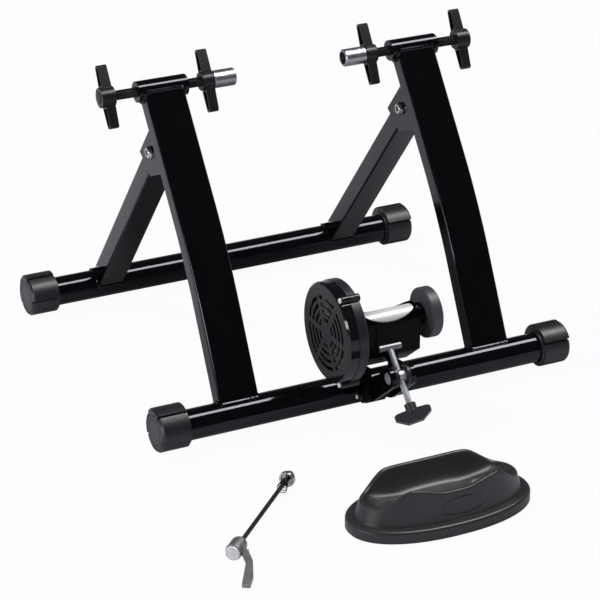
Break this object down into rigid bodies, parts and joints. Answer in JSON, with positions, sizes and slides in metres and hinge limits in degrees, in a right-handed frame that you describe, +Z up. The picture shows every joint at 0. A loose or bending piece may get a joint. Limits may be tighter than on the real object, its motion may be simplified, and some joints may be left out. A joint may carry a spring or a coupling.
{
  "type": "magnetic bicycle turbo trainer",
  "caption": "Folding steel stand that clamps a bicycle's rear axle and presses a magnetic roller unit on its tyre, with a loose axle skewer and a front wheel block.",
  "frame": {"origin": "middle of the footprint of the whole set, on the floor", "axes": "+X to the right along both crossbars, +Y from the front crossbar to the rear one, +Z up"},
  "size_m": [0.578, 0.756, 0.3872],
  "materials": {
    "paint": "gloss powder coat",
    "rubber": "satin",
    "chrome": "polished",
    "zinc": "bright zinc plate",
    "steel": "satin",
    "bright": "polished",
    "black_steel": "black oxide",
    "knob_plastic": "satin",
    "gloss_plastic": "gloss",
    "aluminium": "plain",
    "cast_black": "satin black",
    "magnet": "nickel",
    "block_plastic": "satin"
  },
  "bodies": {
    "stand": {"front_crossbar": "paint", "unit_bracket": "paint", "unit_bolt": "steel", "unit_nut": "black_steel", "return_spring": "steel", "left_upright": "paint", "left_axle_sleeve": "paint", "left_hinge_bracket": "paint", "left_hinge_bolt": "steel", "left_hinge_nut": "steel", "right_upright": "paint", "right_axle_sleeve": "paint", "right_hinge_bracket": "paint", "right_hinge_bolt": "steel", "right_hinge_nut": "steel"},
    "rear_frame": {"rear_crossbar": "paint", "left_rear_leg": "paint", "right_rear_leg": "paint"},
    "front_left_foot": {"front_left_cap": "rubber"},
    "front_right_foot": {"front_right_cap": "rubber"},
    "rear_left_foot": {"rear_left_cap": "rubber"},
    "rear_right_foot": {"rear_right_cap": "rubber"},
    "unit": {"cradle": "cast_black", "left_bearing": "steel", "right_bearing": "steel", "housing_back": "gloss_plastic", "vented_cover": "gloss_plastic", "cover_screw_1": "steel", "cover_screw_2": "steel", "magnet_plate": "magnet"},
    "rotor": {"roller": "bright", "roller_shaft": "steel", "rotor_disc": "aluminium", "flywheel": "cast_black", "flywheel_nut": "steel"},
    "barrel": {"barrel": "zinc", "left_bush": "rubber", "right_bush": "rubber"},
    "cross_bar": {"cross_bar": "zinc"},
    "screw": {"adjuster_screw": "zinc", "adjuster_knob": "knob_plastic"},
    "skewer": {"skewer_rod": "black_steel", "cam_housing": "steel", "cam_cap": "bright"},
    "skewer_nut": {"skewer_nut": "steel"},
    "lever": {"quick_lever": "chrome"},
    "wheel_block": {"front_wheel_block": "block_plastic"},
    "left_cup": {"left_axle_cup": "chrome"},
    "left_clamp_screw": {"left_spindle": "black_steel", "left_handle": "knob_plastic"},
    "left_washer": {"left_lock_washer": "zinc"},
    "left_lock": {"left_lock_nut": "knob_plastic"},
    "right_cup": {"right_axle_cup": "chrome"},
    "right_clamp_screw": {"right_spindle": "black_steel", "right_handle": "knob_plastic"},
    "right_washer": {"right_lock_washer": "zinc"},
    "right_lock": {"right_lock_nut": "knob_plastic"}
  },
  "joints": [
    {"name": "rear_frame_fold", "type": "hinge", "parent": "stand", "child": "rear_frame", "pos_m": [0.01929, 0.13703, 0.2818], "axis": [-1, 0, 0], "range_deg": [0, 66]},
    {"name": "front_left_foot_turn", "type": "hinge", "parent": "stand", "child": "front_left_foot", "pos_m": [-0.25271, -0.05837, 0.024], "axis": [1, 0, 0], "continuous": true},
    {"name": "front_right_foot_turn", "type": "hinge", "parent": "stand", "child": "front_right_foot", "pos_m": [0.28629, -0.05837, 0.024], "axis": [1, 0, 0], "continuous": true},
    {"name": "rear_left_foot_turn", "type": "hinge", "parent": "rear_frame", "child": "rear_left_foot", "pos_m": [-0.25546, 0.35003, 0.024], "axis": [1, 0, 0], "continuous": true},
    {"name": "rear_right_foot_turn", "type": "hinge", "parent": "rear_frame", "child": "rear_right_foot", "pos_m": [0.28904, 0.35003, 0.024], "axis": [1, 0, 0], "continuous": true},
    {"name": "left_cup_slide", "type": "slide", "parent": "stand", "child": "left_cup", "axis": [1, 0, 0], "range_m": [0, 0.0277]},
    {"name": "left_clamp_turn", "type": "hinge", "parent": "left_cup", "child": "left_clamp_screw", "pos_m": [-0.14671, 0.15119, 0.3534], "axis": [1, 0, 0], "range_deg": [0, 5699]},
    {"name": "left_washer_slide", "type": "slide", "parent": "stand", "child": "left_washer", "axis": [-1, 0, 0], "range_m": [0, 0.0183]},
    {"name": "left_lock_turn", "type": "hinge", "parent": "left_washer", "child": "left_lock", "pos_m": [-0.14671, 0.15119, 0.3534], "axis": [-1, 0, 0], "range_deg": [0, 3764]},
    {"name": "right_cup_slide", "type": "slide", "parent": "stand", "child": "right_cup", "axis": [-1, 0, 0], "range_m": [0, 0.0277]},
    {"name": "right_clamp_turn", "type": "hinge", "parent": "right_cup", "child": "right_clamp_screw", "pos_m": [0.18529, 0.15119, 0.3534], "axis": [-1, 0, 0], "range_deg": [0, 5699]},
    {"name": "right_washer_slide", "type": "slide", "parent": "stand", "child": "right_washer", "axis": [1, 0, 0], "range_m": [0, 0.0183]},
    {"name": "right_lock_turn", "type": "hinge", "parent": "right_washer", "child": "right_lock", "pos_m": [0.18529, 0.15119, 0.3534], "axis": [1, 0, 0], "range_deg": [0, 3764]},
    {"name": "unit_swing", "type": "hinge", "parent": "stand", "child": "unit", "pos_m": [0.01929, -0.09437, 0.032], "axis": [-1, 0, 0], "range_deg": [-7.52, 9.4]},
    {"name": "barrel_tilt", "type": "hinge", "parent": "stand", "child": "barrel", "pos_m": [0.01929, -0.13947, 0.0723], "axis": [-1, 0, 0], "range_deg": [-6.62, 8.27]},
    {"name": "cross_bar_slide", "type": "slide", "parent": "barrel", "child": "cross_bar", "axis": [0, 0.7098, 0.7044], "range_m": [-0.00801, 0.01001]},
    {"name": "knob_turn", "type": "hinge", "parent": "cross_bar", "child": "screw", "pos_m": [0.01929, -0.11357, 0.098], "axis": [0, 0.7098, 0.7044], "range_deg": [-2304, 2880]},
    {"name": "roller_spin", "type": "hinge", "parent": "unit", "child": "rotor", "pos_m": [0.01929, -0.09587, 0.1234], "axis": [1, 0, 0], "continuous": true},
    {"name": "skewer_lift", "type": "slide", "parent": "stand", "child": "skewer", "axis": [0, 0, 1], "range_m": [0, 0.3]},
    {"name": "skewer_nut_turn", "type": "hinge", "parent": "skewer", "child": "skewer_nut", "pos_m": [-0.15441, -0.19987, 0.0092], "axis": [-0.7133, -0.7009, 0], "continuous": true},
    {"name": "lever_throw", "type": "hinge", "parent": "skewer", "child": "lever", "pos_m": [-0.26893, -0.31241, 0.0092], "axis": [-0.7009, 0.7133, 0], "range_deg": [0, 175]},
    {"name": "block_lift", "type": "slide", "parent": "stand", "child": "wheel_block", "axis": [0, 0, 1], "range_m": [0, 0.3]}
  ],
  "couplings": [
    {"joint": "left_clamp_turn", "follows": "left_cup_slide", "rad_per_m": 3590.4},
    {"joint": "left_washer_slide", "follows": "left_lock_turn", "m_per_rad": 0.00027852},
    {"joint": "right_clamp_turn", "follows": "right_cup_slide", "rad_per_m": 3590.4},
    {"joint": "right_washer_slide", "follows": "right_lock_turn", "m_per_rad": 0.00027852},
    {"joint": "cross_bar_slide", "follows": "unit_swing", "m_per_rad": 0.060921},
    {"joint": "knob_turn", "follows": "unit_swing", "ratio": 306.22},
    {"joint": "barrel_tilt", "follows": "unit_swing", "ratio": 0.87748}
  ]
}
